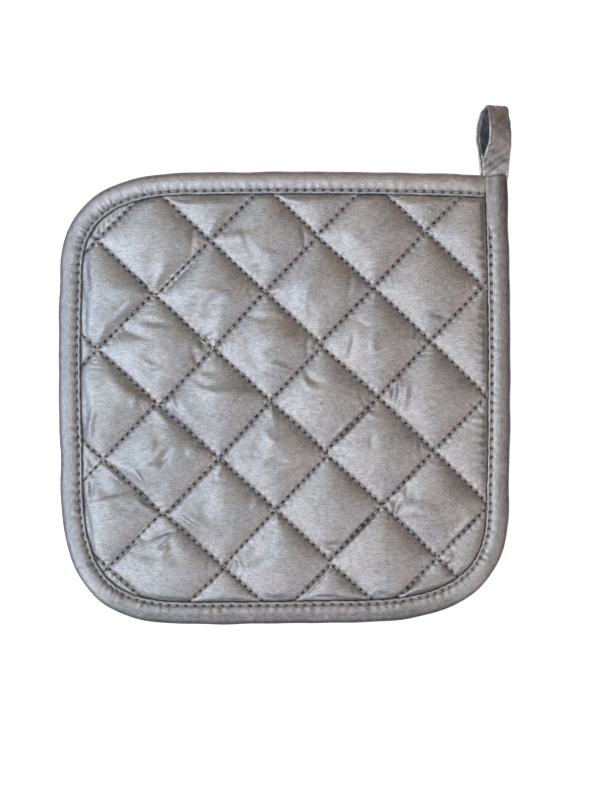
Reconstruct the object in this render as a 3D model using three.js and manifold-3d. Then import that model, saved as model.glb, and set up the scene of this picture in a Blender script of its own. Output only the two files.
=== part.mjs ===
// A quilted square pot holder: filled pad, folded binding and hanging loop.
// Millimetres. The back lies on Z = 0 and the front faces +Z. The loop stands out at the +X, +Y corner.
// The origin is the middle of the rectangle that holds the body and its loop.
import * as THREE from 'three';
import { mergeVertices } from 'three/addons/utils/BufferGeometryUtils.js';
import Module from 'manifold-3d';

// ---------------------------------------------------------------- driving dimensions
const EDGE_TOP = 85.2; // body's top edge
const EDGE_RIGHT_AT_TOP = 98.4; // the right side leans in a little towards the loop
const MID_HEIGHT = 3.4; // height of the cloth's middle plane above the table
const GAP = 0.3; // air between neighbouring pieces
const PAD_GAP = 0.5; // the same, with room for the straight stretches of the binding's faceted corners

const BINDING_WIDTH = 9.3; // how far the folded strip reaches in from the outer edge
const BINDING_CROWN = 3.4; // from the middle plane to the top of the roll
const SLOT_HALF = 1.8; // half the height of the space between the strip's two leaves
const SLOT_FLOOR = 2.3; // where that space ends, from the outer edge
const BINDING_STEPS = 98;

const FLANGE_HALF = 1.45; // half the pad's thickness where the binding grips it
const SEAM_HALF = 1.5; // half the pad's thickness under a line of quilting
const FRONT_PUFF = 4.3; // how far a full puff rises above the quilting, front face
const BACK_PUFF = MID_HEIGHT - SEAM_HALF; // the back puffs reach the table
const BACK_FLATTENING = 1.6; // more than 1 presses the tops of the back puffs flat
const PUFF_ROUNDNESS = 0.62; // below 1 makes steep sides and a broad crown
const EDGE_RISE = 15; // how far in from the binding the puffs reach full height

const LOOP_THICKNESS = 1.3;
const LOOP_STEPS = 36;
const LOOP_ROOM = 60; // half the size of the block beyond the top edge that the loop is kept within

// Rounded corners of the body, anticlockwise seen from the front. corner: where the two sides
// would meet; reach: how far the rounding runs along X and along Y; fullness: 2 is an ellipse,
// more is squarer; bow: how far the side that follows swells outwards.
const CORNERS = [
  { name: 'top right', corner: [EDGE_RIGHT_AT_TOP, EDGE_TOP], reach: [0, 0], fullness: 2.0, bow: 0.2 },
  { name: 'top left', corner: [-99.3, 85.0], reach: [62, 48], fullness: 2.6, bow: 0.7 },
  { name: 'bottom left', corner: [-99.1, -114.8], reach: [66, 76], fullness: 3.2, bow: 0.1 },
  { name: 'bottom right', corner: [99.3, -114.1], reach: [76, 56], fullness: 2.8, bow: 1.1 },
];

// Lines of quilting. level: height of the line where it crosses X = 0; slope: in degrees.
const FALLING_LINES = [
  { level: -159.0, slope: -40.0 },
  { level: -112.2, slope: -41.0 },
  { level: -67.5, slope: -42.0 },
  { level: -21.9, slope: -43.0 },
  { level: 24.1, slope: -43.7 },
  { level: 72.2, slope: -44.3 },
  { level: 122.0, slope: -45.4 },
  { level: 172.0, slope: -46.4 },
];
const RISING_LINES = [
  { level: 136.0, slope: 44.0 },
  { level: 88.3, slope: 44.9 },
  { level: 42.3, slope: 46.5 },
  { level: -8.0, slope: 47.0 },
  { level: -59.0, slope: 46.8 },
  { level: -106.6, slope: 46.1 },
  { level: -152.4, slope: 45.0 },
  { level: -199.0, slope: 44.0 },
];
const PUFF_CUTS = [0, 0.08, 0.26, 0.5, 0.74, 0.92]; // grid lines across one diamond

// The loop's middle line from its front root over the top and down to its back root.
// turn: how far the strip is twisted to face left, in degrees; width: of the folded strip.
const LOOP_COURSE = [
  { x: 94.0, y: 84.0, z: 4.2, turn: 0, width: 11.6 },
  { x: 94.0, y: 90.0, z: 8.6, turn: 9, width: 11.2 },
  { x: 93.8, y: 97.0, z: 12.8, turn: 17, width: 10.5 },
  { x: 93.6, y: 104.0, z: 13.7, turn: 20, width: 10.2 },
  { x: 93.4, y: 110.5, z: 11.6, turn: 20, width: 10.1 },
  { x: 92.9, y: 114.1, z: 7.8, turn: 19, width: 10.1 },
  { x: 91.8, y: 111.6, z: 4.1, turn: 18, width: 10.1 },
  { x: 90.3, y: 105.5, z: 2.5, turn: 18, width: 10.2 },
  { x: 89.6, y: 99.0, z: 2.4, turn: 17, width: 10.3 },
  { x: 90.2, y: 92.0, z: 2.2, turn: 8, width: 11.0 },
  { x: 91.8, y: 84.0, z: 2.0, turn: 0, width: 11.4 },
];

// ---------------------------------------------------------------- the outline of the body
const CORNER_POINTS = 24;
const SIDE_POINTS = 8;

// The quarter of a superellipse that rounds one corner, anticlockwise, or the bare corner.
function cornerPoints({ corner, reach, fullness }) {
  if (reach[0] === 0) return [new THREE.Vector2(...corner)];
  const sx = Math.sign(corner[0]);
  const sy = Math.sign(corner[1]);
  const points = [];
  for (let i = 0; i <= CORNER_POINTS; i++) {
    const angle = (Math.PI / 2) * (i / CORNER_POINTS);
    const along = Math.pow(Math.cos(angle), 2 / fullness);
    const across = Math.pow(Math.sin(angle), 2 / fullness);
    points.push(
      new THREE.Vector2(corner[0] - sx * reach[0] * (1 - along), corner[1] - sy * reach[1] * (1 - across)),
    );
  }
  return sx * sy > 0 ? points : points.reverse();
}

// The whole outline as a list of points: each corner, then the gently bowed side after it.
function bodyOutline() {
  const rounds = CORNERS.map(cornerPoints);
  const outline = [];
  rounds.forEach((round, i) => {
    outline.push(...round);
    const from = round[round.length - 1];
    const to = rounds[(i + 1) % rounds.length][0];
    const outward = new THREE.Vector2(to.y - from.y, from.x - to.x).normalize();
    for (let k = 1; k < SIDE_POINTS; k++) {
      const t = k / SIDE_POINTS;
      const swell = CORNERS[i].bow * 4 * t * (1 - t);
      outline.push(from.clone().lerp(to, t).addScaledVector(outward, swell));
    }
  });
  return outline;
}

// A closed outline moved inwards by a distance, with mitred corners.
function inset(outline, distance) {
  const count = outline.length;
  return outline.map((point, i) => {
    const before = point.clone().sub(outline[(i + count - 1) % count]).normalize();
    const after = outline[(i + 1) % count].clone().sub(point).normalize();
    const tangent = before.clone().add(after).normalize();
    const mitre = 1 / Math.max(0.5, tangent.dot(after));
    return new THREE.Vector2(point.x - tangent.y * distance * mitre, point.y + tangent.x * distance * mitre);
  });
}

// Distance from a point to the nearest stretch of a closed outline.
function distanceToOutline(point, outline) {
  let nearest = Infinity;
  const foot = new THREE.Vector2();
  outline.forEach((from, i) => {
    const side = outline[(i + 1) % outline.length].clone().sub(from);
    const t = THREE.MathUtils.clamp(point.clone().sub(from).dot(side) / side.lengthSq(), 0, 1);
    foot.copy(from).addScaledVector(side, t);
    nearest = Math.min(nearest, foot.distanceTo(point));
  });
  return nearest;
}

// ---------------------------------------------------------------- helpers for solids
const wasm = await Module();
wasm.setup();

function toSolid(geometry) {
  const bare = geometry.clone();
  bare.deleteAttribute('normal');
  bare.deleteAttribute('uv');
  const merged = mergeVertices(bare, 1e-4);
  return new wasm.Manifold(
    new wasm.Mesh({
      numProp: 3,
      vertProperties: new Float32Array(merged.attributes.position.array),
      triVerts: new Uint32Array(merged.index.array),
    }),
  );
}

function toGeometry(solid) {
  const mesh = solid.getMesh();
  const geometry = new THREE.BufferGeometry();
  geometry.setAttribute('position', new THREE.BufferAttribute(new Float32Array(mesh.vertProperties), 3));
  geometry.setIndex(new THREE.BufferAttribute(new Uint32Array(mesh.triVerts), 1));
  geometry.computeVertexNormals();
  return geometry;
}

function mapVertices(geometry, place) {
  const position = geometry.attributes.position;
  const vertex = new THREE.Vector3();
  for (let i = 0; i < position.count; i++) {
    vertex.fromBufferAttribute(position, i);
    place(vertex);
    position.setXYZ(i, vertex.x, vertex.y, vertex.z);
  }
  geometry.computeVertexNormals();
  return geometry;
}

// A flat plate of the given outline between two heights.
function plate(outline, low, high) {
  const geometry = new THREE.ExtrudeGeometry(new THREE.Shape(outline), {
    depth: high - low,
    bevelEnabled: false,
  });
  geometry.translate(0, 0, low);
  return toSolid(geometry);
}

// ---------------------------------------------------------------- the quilted pad
// A quilting line at a whole or fractional place in its table, as { level, steepness }.
function quiltLine(table, place) {
  const row = Math.min(Math.floor(place), table.length - 2);
  const t = place - row;
  const level = THREE.MathUtils.lerp(table[row].level, table[row + 1].level, t);
  const slope = THREE.MathUtils.lerp(table[row].slope, table[row + 1].slope, t);
  return { level, steepness: Math.tan(THREE.MathUtils.degToRad(slope)) };
}

// Where a falling and a rising line cross, both given by their place in the tables.
function crossing(fallingPlace, risingPlace) {
  const falling = quiltLine(FALLING_LINES, fallingPlace);
  const rising = quiltLine(RISING_LINES, risingPlace);
  const x = (rising.level - falling.level) / (falling.steepness - rising.steepness);
  return new THREE.Vector2(x, falling.level + falling.steepness * x);
}

// 0 on the quilting, 1 at the middle of a diamond.
function puff(fallingPlace, risingPlace) {
  const across = Math.sin(Math.PI * (fallingPlace % 1));
  const along = Math.sin(Math.PI * (risingPlace % 1));
  return Math.pow(Math.max(across * along, 0), PUFF_ROUNDNESS);
}

function placeOfCut(step) {
  const cuts = PUFF_CUTS.length;
  return Math.floor(step / cuts) + PUFF_CUTS[step % cuts];
}

function makePad(outline) {
  const steps = (FALLING_LINES.length - 1) * PUFF_CUTS.length;
  const sheet = new THREE.BoxGeometry(steps, steps, 2, steps, steps, 1);
  mapVertices(sheet, (vertex) => {
    const fallingPlace = placeOfCut(Math.round(vertex.y + steps / 2));
    const risingPlace = placeOfCut(Math.round(vertex.x + steps / 2));
    const front = vertex.z > 0;
    const spot = crossing(fallingPlace, risingPlace);
    const inwards = distanceToOutline(spot, outline) - BINDING_WIDTH - PAD_GAP;
    const nearEdge = Math.sqrt(THREE.MathUtils.clamp(inwards / EDGE_RISE, 0, 1));
    const height = puff(fallingPlace, risingPlace) * nearEdge;
    const rise = front ? FRONT_PUFF * height : -BACK_PUFF * Math.min(1, BACK_FLATTENING * height);
    vertex.set(spot.x, spot.y, MID_HEIGHT + (front ? SEAM_HALF : -SEAM_HALF) + rise);
  });
  const tall = plate(inset(outline, BINDING_WIDTH + PAD_GAP), -1, 2 * MID_HEIGHT + FRONT_PUFF);
  const flange = plate(inset(outline, SLOT_FLOOR + PAD_GAP), MID_HEIGHT - FLANGE_HALF, MID_HEIGHT + FLANGE_HALF);
  return toGeometry(toSolid(sheet).intersect(tall).add(flange));
}

// ---------------------------------------------------------------- the binding
// Half of the folded strip's section, from the outer edge over the roll to the inner lip.
// inwards: from the outer edge; rise: from the middle plane.
const BINDING_ROLL = [
  { inwards: 0.0, rise: 0.0 },
  { inwards: 0.6, rise: 2.0 },
  { inwards: 2.4, rise: BINDING_CROWN },
  { inwards: 5.2, rise: BINDING_CROWN },
  { inwards: 7.3, rise: 2.7 },
  { inwards: BINDING_WIDTH, rise: 2.5 },
];

function bindingSection() {
  const front = BINDING_ROLL.map(({ inwards, rise }) => new THREE.Vector2(inwards, rise));
  const back = front.slice(1).reverse().map((point) => new THREE.Vector2(point.x, -point.y));
  const slot = [
    new THREE.Vector2(BINDING_WIDTH, SLOT_HALF),
    new THREE.Vector2(SLOT_FLOOR, SLOT_HALF),
    new THREE.Vector2(SLOT_FLOOR, -SLOT_HALF),
    new THREE.Vector2(BINDING_WIDTH, -SLOT_HALF),
  ];
  return new THREE.Shape([...front, ...slot, ...back]);
}

// The strip starts beside the right-hand side, runs left along the top and right round the body,
// and ends at the top of the right-hand side.
function makeBinding(outline) {
  const route = [...outline, outline[0]];
  const path = new THREE.CurvePath();
  route.slice(1).forEach((point, i) => path.add(new THREE.LineCurve(route[i], point)));
  const whole = path.getLength();
  const start = route[0].x - (EDGE_RIGHT_AT_TOP - BINDING_WIDTH - GAP);
  const depth = whole - start;
  const strip = new THREE.ExtrudeGeometry(bindingSection(), {
    depth,
    steps: BINDING_STEPS,
    bevelEnabled: false,
  });
  return mapVertices(strip, (vertex) => {
    const share = (start + vertex.z) / whole;
    const foot = path.getPointAt(THREE.MathUtils.clamp(share, 0, 1));
    const reach = 1.5 / whole;
    const behind = path.getPointAt(THREE.MathUtils.clamp(share - reach, 0, 1));
    const ahead = path.getPointAt(THREE.MathUtils.clamp(share + reach, 0, 1));
    const tangent = ahead.sub(behind).normalize();
    vertex.set(foot.x - tangent.y * vertex.x, foot.y + tangent.x * vertex.x, MID_HEIGHT + vertex.y);
  });
}

// ---------------------------------------------------------------- the hanging loop
function makeLoop() {
  const spots = LOOP_COURSE.map(({ x, y, z }) => new THREE.Vector3(x, y, z));
  const course = new THREE.CatmullRomCurve3(spots, false, 'centripetal');
  const last = LOOP_COURSE.length - 1;
  const half = LOOP_THICKNESS / 2;
  const bevel = half * 0.5;
  const section = new THREE.Shape([
    new THREE.Vector2(-0.5, -bevel),
    new THREE.Vector2(-0.5 + bevel / 10, -half),
    new THREE.Vector2(0.5 - bevel / 10, -half),
    new THREE.Vector2(0.5, -bevel),
    new THREE.Vector2(0.5, bevel),
    new THREE.Vector2(0.5 - bevel / 10, half),
    new THREE.Vector2(-0.5 + bevel / 10, half),
    new THREE.Vector2(-0.5, bevel),
  ]);
  const strip = new THREE.ExtrudeGeometry(section, { depth: last, steps: LOOP_STEPS, bevelEnabled: false });
  mapVertices(strip, (vertex) => {
    const place = THREE.MathUtils.clamp(vertex.z, 0, last);
    const row = Math.min(Math.floor(place), last - 1);
    const t = place - row;
    const turn = THREE.MathUtils.lerp(LOOP_COURSE[row].turn, LOOP_COURSE[row + 1].turn, t);
    const width = THREE.MathUtils.lerp(LOOP_COURSE[row].width, LOOP_COURSE[row + 1].width, t);
    const angle = THREE.MathUtils.degToRad(turn);
    const tangent = course.getTangent(place / last);
    const across = new THREE.Vector3(Math.cos(angle), 0, -Math.sin(angle));
    across.addScaledVector(tangent, -across.dot(tangent)).normalize();
    const inward = tangent.clone().cross(across);
    const sideways = vertex.x * width;
    const depth = vertex.y;
    vertex.copy(course.getPoint(place / last)).addScaledVector(across, sideways).addScaledVector(inward, depth);
  });
  const room = new THREE.BoxGeometry(4 * LOOP_ROOM, 2 * LOOP_ROOM, 2 * LOOP_ROOM);
  room.translate(EDGE_RIGHT_AT_TOP, EDGE_TOP + GAP + LOOP_ROOM, 0);
  return toGeometry(toSolid(strip).intersect(toSolid(room)));
}

// ---------------------------------------------------------------- the assembly
function cloth(colour, roughness, metalness) {
  return new THREE.MeshStandardMaterial({ color: colour, roughness, metalness });
}

const outline = bodyOutline();
const potHolder = new THREE.Group();
const pieces = [
  ['quilted_pad', makePad(outline), cloth(0xa9a9ad, 0.45, 0.6)],
  ['binding', makeBinding(outline), cloth(0x9c9a9c, 0.45, 0.6)],
  ['hanging_loop', makeLoop(), cloth(0x96949a, 0.45, 0.6)],
];
for (const [name, geometry, material] of pieces) {
  const mesh = new THREE.Mesh(geometry, material);
  mesh.name = name;
  potHolder.add(mesh);
}

export default potHolder;
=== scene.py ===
# %% [markdown]
# # A quilted pot holder, made in cells
#
# The real thing is two squares of silver-coated cotton with wadding between them, quilted in diamonds.
# A folded strip of the same cloth binds the edge, and a piece of that strip stands up as a hanging loop.
# Each cell below makes one piece or one finish. Sizes are written in millimetres and turned into metres
# when a mesh is made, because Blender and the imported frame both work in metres.

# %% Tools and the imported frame
import math

import bpy
import numpy as np
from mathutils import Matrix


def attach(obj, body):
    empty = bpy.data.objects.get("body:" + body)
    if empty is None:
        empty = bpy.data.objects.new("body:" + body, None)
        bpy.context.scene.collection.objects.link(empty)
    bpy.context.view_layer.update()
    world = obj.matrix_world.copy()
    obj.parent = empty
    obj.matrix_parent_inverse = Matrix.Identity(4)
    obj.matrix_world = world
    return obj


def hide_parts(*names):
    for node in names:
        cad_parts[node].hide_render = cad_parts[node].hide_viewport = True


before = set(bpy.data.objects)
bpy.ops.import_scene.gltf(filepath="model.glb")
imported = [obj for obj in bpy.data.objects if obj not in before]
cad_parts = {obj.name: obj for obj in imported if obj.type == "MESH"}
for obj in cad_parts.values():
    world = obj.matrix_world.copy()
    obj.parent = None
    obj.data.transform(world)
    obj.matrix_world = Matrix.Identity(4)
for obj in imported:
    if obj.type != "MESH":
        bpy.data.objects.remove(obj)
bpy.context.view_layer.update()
MM = 0.001
rng = np.random.default_rng(20)
scene = bpy.context.scene

# %% [markdown]
# ## Where the camera stands
#
# The pot holder lies on its back and is seen face on, so the camera looks straight down. A long lens
# far away keeps the square square. The lens follows from the height of the view and the distance.

# %% Camera
PICTURE_HEIGHT = 800  # pixels
PIXELS_PER_MM = 2.26  # on the middle plane of the cloth
MID_HEIGHT = 3.4  # the cloth's middle plane above the table
CAMERA_DISTANCE = 620.0  # from that plane
AIM = (6.9, -15.6)  # the middle of the view
SENSOR = 36.0

view_height = PICTURE_HEIGHT / PIXELS_PER_MM
camera_data = bpy.data.cameras.new("camera")
camera_data.sensor_fit = "VERTICAL"
camera_data.sensor_height = SENSOR
camera_data.lens = SENSOR * CAMERA_DISTANCE / view_height
camera = bpy.data.objects.new("camera", camera_data)
camera.location = (AIM[0] * MM, AIM[1] * MM, (MID_HEIGHT + CAMERA_DISTANCE) * MM)
scene.collection.objects.link(camera)
scene.camera = camera
print("lens", round(camera_data.lens, 1), "mm, view", round(view_height), "mm high")

# %% [markdown]
# ## The outline of the body
#
# Three corners are rounded and the one with the loop is square. A superellipse gives each rounded
# corner its own length, height and fullness, and each side between two corners swells a little. The
# whole outline is then one long path, measured from the loop's corner anticlockwise round the body.

# %% Outline table and path
CORNERS = (  # x, y, reach along x, reach along y, fullness, bow of the side that follows
    (98.4, 83.5, 0, 0, 2.0, 1.05),  # by the loop, square
    (-99.3, 85.0, 62, 48, 2.6, 0.7),
    (-99.1, -114.8, 66, 76, 3.2, 0.1),
    (99.3, -114.1, 76, 56, 2.8, 1.1),
)
PATH_STEP = 0.5  # how far apart the path's points are


def corner_points(row, count=160):
    x, y, reach_x, reach_y, fullness, _ = row
    if reach_x == 0:
        return np.array([(x, y)])
    side_x, side_y = np.sign(x), np.sign(y)
    angle = np.linspace(0, np.pi / 2, count)
    along = np.abs(np.cos(angle)) ** (2 / fullness)
    across = np.abs(np.sin(angle)) ** (2 / fullness)
    points = np.column_stack((x - side_x * reach_x * (1 - along), y - side_y * reach_y * (1 - across)))
    return points if side_x * side_y > 0 else points[::-1]


def body_outline():
    rounds = [corner_points(row) for row in CORNERS]
    points = []
    for i, arc in enumerate(rounds):
        start, end = arc[-1], rounds[(i + 1) % len(rounds)][0]
        share = np.linspace(0, 1, 60)[1:-1, None]
        outward = np.array((end[1] - start[1], start[0] - end[0]))
        outward /= np.hypot(*outward)
        swell = CORNERS[i][5] * 4 * share * (1 - share)
        points += [arc, start + (end - start) * share + outward * swell]
    return np.vstack(points + [rounds[0]])


def evenly(points, step):
    reach = np.concatenate(([0], np.cumsum(np.hypot(*np.diff(points[:, :2], axis=0).T))))
    at = np.linspace(0, reach[-1], int(round(reach[-1] / step)) + 1)
    return at, np.column_stack([np.interp(at, reach, points[:, k]) for k in range(points.shape[1])])


path_at, path_xy = evenly(body_outline(), PATH_STEP)
path_length = path_at[-1]
SMOOTHING = 3  # path points on each side that a direction is measured over
AT_ONCE = 8  # path points whose distance is measured together
ahead = path_xy[np.minimum(np.arange(len(path_xy)) + SMOOTHING, len(path_xy) - 1)]
behind = path_xy[np.maximum(np.arange(len(path_xy)) - SMOOTHING, 0)]
path_way = (ahead - behind) / np.linalg.norm(ahead - behind, axis=1)[:, None]
path_in = np.column_stack((-path_way[:, 1], path_way[:, 0]))
print("edge length", round(path_length, 1), "mm")


def on_path(place, table):
    """The two numbers of path_xy or path_in, read at places along the outline."""
    return np.stack([np.interp(place, path_at, table[:, k]) for k in (0, 1)], axis=-1)


def from_edge(points):
    """Distance in from the outline and place along it, for points inside the body."""
    distance, place = np.full(len(points), np.inf), np.zeros(len(points))
    for start in range(0, len(path_xy), AT_ONCE):
        gap = points[:, None, :] - path_xy[None, start : start + AT_ONCE, :]
        length = np.hypot(gap[..., 0], gap[..., 1])
        best = length.argmin(axis=1)
        here = length[np.arange(len(points)), best]
        nearer = here < distance
        distance[nearer], place[nearer] = here[nearer], path_at[start + best[nearer]]
    return distance, place


# %% [markdown]
# ### How wide the binding is
#
# The strip that binds the edge was folded by hand, so it isn't equally wide everywhere. Its width is
# set down at places round the outline and read smoothly between them. The pad needs it as well as the
# strip, because the pad's front sinks where the strip's edge presses on it.

# %% Width of the binding
WIDTHS = (  # x, y on the outline, width of the strip seen from the front
    (80, 85, 8.2),
    (-38, 85, 8.2),
    (-84, 70, 8.6),
    (-99, 30, 9.2),
    (-99, -40, 9.4),
    (-82, -100, 9.2),
    (-30, -115, 8.7),
    (30, -115, 8.6),
    (82, -98, 9.3),
    (99, -50, 9.9),
    (98.4, 84, 9.9),
)


def place_of(x, y):
    return float(path_at[np.hypot(path_xy[:, 0] - x, path_xy[:, 1] - y).argmin()])


width_places = [place_of(x, y) for x, y, _ in WIDTHS]
width_values = [row[2] for row in WIDTHS]
print("strip's widths at", np.round(width_places).tolist())


def strip_width(place):
    return np.interp(place, width_places, width_values)


# %% [markdown]
# ## The quilting lines
#
# The maker ruled two sets of lines across the cloth. They aren't quite parallel, as on any piece fed
# through the machine by hand, and the sewing strays from the ruled lines. Where a falling line was sewn
# over a rising one, the cloth was pushed along a little, so the rising line jumps. A place on the cloth
# is given by two numbers, one for each set, and a whole number means that the place is on a line. Every
# pattern of the quilting follows from these two.

# %% Quilting tables
# each line's level where it crosses x = 0, and its slope in degrees
FALLING_LEVELS = (-207, -156.4, -112.2, -67.5, -21.9, 24.1, 72.2, 122, 172)
FALLING_SLOPES = (-39, -40.4, -41, -42, -43, -43.7, -44.3, -45.4, -46.4)
RISING_LEVELS = (184, 137.6, 88.3, 42.3, -8, -59, -106.6, -152.4, -199)
RISING_SLOPES = (44, 45, 44.9, 46.5, 47, 46.8, 46.1, 45, 44)
LINES = len(FALLING_LEVELS)
DIAMOND = 34.0  # the side of one diamond
# for each line, pairs of a place along it and how far the sewing runs to its lower side there
FALLING_STRAY = (
    ((4, 0),),
    ((4, -0.4), (5, 0.6)),
    ((3, -0.8), (3.95, 0.3), (4.05, -0.2), (5, 0.2), (6, 0.8)),
    ((2, -0.1), (3, 0.2), (4, -0.3), (5, -0.1), (5.95, 0.5), (6.05, 1.3), (7, 0.9)),
    ((1, 0.0), (1.95, 0.9), (2.05, 0.4), (3, 0.1), (4, -0.2))
    + ((4.95, -0.3), (5.05, 0.2), (6, -0.3), (7, 0.2)),
    ((1, 1.0), (2, 0.4), (3, 0.0), (3.95, -0.4), (4.05, 0.2), (5, -0.9), (6, -0.8), (7, -0.3)),
    ((2, 1.2), (2.95, 0.5), (3.05, 1.0), (4, -0.3), (5, -0.9), (6, -0.9)),
    ((3, 1.3), (4, 0.0), (5, -1.3)),
    ((4, 0),),
)
RISING_STRAY = (
    ((4, 0),),
    ((4, 0),),
    ((3, -0.4), (3.95, -0.6), (4.05, 1.0), (5, 0.6), (6, 0.1)),
    ((2, 0.0), (2.95, -0.1), (3.05, 1.6), (4, 1.4), (5, 0.7), (5.95, 0.8), (6.05, 0.3), (7, 0.7)),
    ((1, -1.2), (1.95, -0.5), (2.05, 1.3), (3, 1.6), (4, 1.0))
    + ((4.95, 1.1), (5.05, -0.4), (6, 0.1), (7, 0.0), (8, 1.2)),
    ((1, 0.3), (1.95, 1.5), (2.05, 0.9), (3, 0.7), (3.95, 0.8))
    + ((4.05, -0.8), (5, -0.3), (6, -0.7), (7, -0.2)),
    ((2, 1.6), (2.95, 1.7), (3.05, 0.3), (4, 0.2), (5, 0.0), (6, 0.0)),
    ((3, 0.3), (4, 0.2), (5, 0.3)),
    ((4, 0),),
)


def stray(table, line, along):
    """How far the sewing runs beside the ruled line, read between the table's lines as well."""
    rows = np.stack([np.interp(along, *np.array(pairs).T) for pairs in table])
    below = np.clip(np.floor(line).astype(int), 0, LINES - 2)
    low, high = (np.take_along_axis(rows, (below + step)[None], axis=0)[0] for step in (0, 1))
    return low + (high - low) * (line - below)


def crossing(falling, rising, ruled=False):
    """The x and y of a place on the cloth, as it is sewn or as it was ruled."""
    rows = np.arange(LINES)
    level_f, slope_f = (np.interp(falling, rows, table) for table in (FALLING_LEVELS, FALLING_SLOPES))
    level_r, slope_r = (np.interp(rising, rows, table) for table in (RISING_LEVELS, RISING_SLOPES))
    if not ruled:
        level_f = level_f - stray(FALLING_STRAY, falling, rising) / np.cos(np.radians(slope_f))
        level_r = level_r - stray(RISING_STRAY, rising, falling) / np.cos(np.radians(slope_r))
    steep_f, steep_r = np.tan(np.radians(slope_f)), np.tan(np.radians(slope_r))
    x = (level_r - level_f) / (steep_f - steep_r)
    return x, level_f + steep_f * x


def grid(places):
    """Falling and rising places of all grid points, from the places of the grid's lines."""
    return np.meshgrid(places, places, indexing="ij")


def to_line(place):
    """0 on a line of quilting and 1 halfway between two."""
    return 1 - np.abs(2 * (place % 1) - 1)


middle_place = np.array([LINES // 2.0])
middle_x, middle_y = crossing(middle_place, middle_place)
print("quilting", LINES, "lines each way, the middle ones cross at", middle_x.round(1), middle_y.round(1))


# %% [markdown]
# ## Meshes from grids
#
# Every cloth piece here is a grid of points that is bent into shape. One helper turns a grid into a
# mesh, so each piece's own cell only has to say where its points go.

# %% Mesh helper
def add_map(mesh, name, values):
    """Two numbers for each point, which materials can read."""
    layer = mesh.uv_layers.new(name=name)
    corner = np.empty(len(mesh.loops), dtype=np.int64)
    mesh.loops.foreach_get("vertex_index", corner)
    layer.data.foreach_set("uv", np.asarray(values)[corner].astype(np.float32).ravel())


def make_mesh(name, points, faces, uv=None, smooth=True):
    mesh = bpy.data.meshes.new(name)
    mesh.from_pydata((np.asarray(points) * MM).tolist(), [], np.asarray(faces).tolist())
    if uv is not None:
        add_map(mesh, "cloth", uv)
    mesh.polygons.foreach_set("use_smooth", [smooth] * len(mesh.polygons))
    mesh.validate()
    piece = bpy.data.objects.new(name, mesh)
    scene.collection.objects.link(piece)
    return piece


def grid_faces(rows, columns):
    index = np.arange(rows * columns).reshape(rows, columns)
    corners = (index[:-1, :-1], index[:-1, 1:], index[1:, 1:], index[1:, :-1])
    return np.stack(corners, axis=-1).reshape(-1, 4)


# %% [markdown]
# ## Filling the front cloth
#
# The front cloth is held down by the quilting and pushed up by the wadding. Blender's cloth
# simulation does just that: the lines of quilting are pinned and a pressure lifts what lies between
# them until the cloth is taut. It runs on a coarse grid, which keeps it quick, and its result is laid
# on the fine one. The simulation's springs suit cloth of a metre or more, so it works on an enlargement.

# %% Simulated front
SEAM_HALF = 1.5  # half the cloth's thickness under the quilting
SIM_CELLS = 16  # to a diamond's side
SIM_FRAMES = 26
SIM_SCALE = 20
SPRINGS = {  # settings of Blender's cloth
    "quality": 7,
    "mass": 0.04,
    "tension_stiffness": 40,
    "compression_stiffness": 40,
    "shear_stiffness": 5,
    "bending_stiffness": 0.5,
    "use_pressure": True,
    "uniform_pressure_force": 62.0,
    "vertex_group_mass": "sewn",
}
GRIPPED = 7.0  # the simulated cloth is held from the edge to here, which the binding covers
HIGHEST_PUFF = 4.3
ROUNDNESS = 0.8  # below 1 makes the puffs' sides steeper and their tops flatter
PLAIN_PUFF = 4.2  # a puff's height where it isn't simulated
PLAIN_FALL = 12.0  # how far inside the gripped part the plain puffs are full
START_SHARE = 0.35  # of the plain puffs' height, from which the simulation starts


def in_body(x, y):
    """True inside the outline, by counting how often a line to the right meets it."""
    inside = np.zeros(x.shape, dtype=bool)
    for (x0, y0), (x1, y1) in zip(path_xy[:-1:2], path_xy[2::2]):
        if y0 != y1:
            spans = (y0 > y) != (y1 > y)
            inside ^= spans & (x < (x1 - x0) * (y - y0) / (y1 - y0) + x0)
    return inside


def depth_inside(x, y):
    """Distance in from the outline, 0 outside it, and how much of that is beyond the binding."""
    distance, place = from_edge(np.column_stack((x.ravel(), y.ravel())))
    distance = np.where(in_body(x, y), distance.reshape(x.shape), 0)
    return distance, distance - strip_width(place).reshape(x.shape)


def plain_front(falling, rising, distance):
    """The front cloth's height above the quilting before it is filled."""
    dome = np.sin(np.pi * (falling % 1)) * np.sin(np.pi * (rising % 1))
    inside = np.clip((distance - GRIPPED) / PLAIN_FALL, 0, 1)
    return PLAIN_PUFF * np.maximum(dome, 0) ** 0.75 * inside**0.5


def filled_front():
    falling, rising = grid(np.arange((LINES - 1) * SIM_CELLS + 1) / SIM_CELLS)
    x, y = crossing(falling, rising, ruled=True)
    distance, _ = depth_inside(x, y)
    start = plain_front(falling, rising, distance)
    flat = np.stack((x, y, start * START_SHARE), axis=-1)
    sheet = make_mesh("front_test", flat.reshape(-1, 3) * SIM_SCALE, grid_faces(*x.shape))
    held = (to_line(falling) < 1e-6) | (to_line(rising) < 1e-6) | (distance < GRIPPED)
    sheet.vertex_groups.new(name="sewn").add(np.flatnonzero(held.ravel()).tolist(), 1.0, "REPLACE")
    cloth = sheet.modifiers.new("Cloth", "CLOTH")
    for name, value in SPRINGS.items():
        setattr(cloth.settings, name, value)
    cloth.settings.effector_weights.gravity = 0
    cloth.collision_settings.use_collision = False
    for number in range(1, SIM_FRAMES + 1):
        scene.frame_set(number)
    solved = sheet.evaluated_get(bpy.context.evaluated_depsgraph_get()).to_mesh()
    points = np.empty(len(solved.vertices) * 3)
    solved.vertices.foreach_get("co", points)
    bpy.data.objects.remove(sheet)
    scene.frame_set(1)
    height = points.reshape(*x.shape, 3)[..., 2] / MM / SIM_SCALE
    return np.clip(height, 0, HIGHEST_PUFF)


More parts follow.
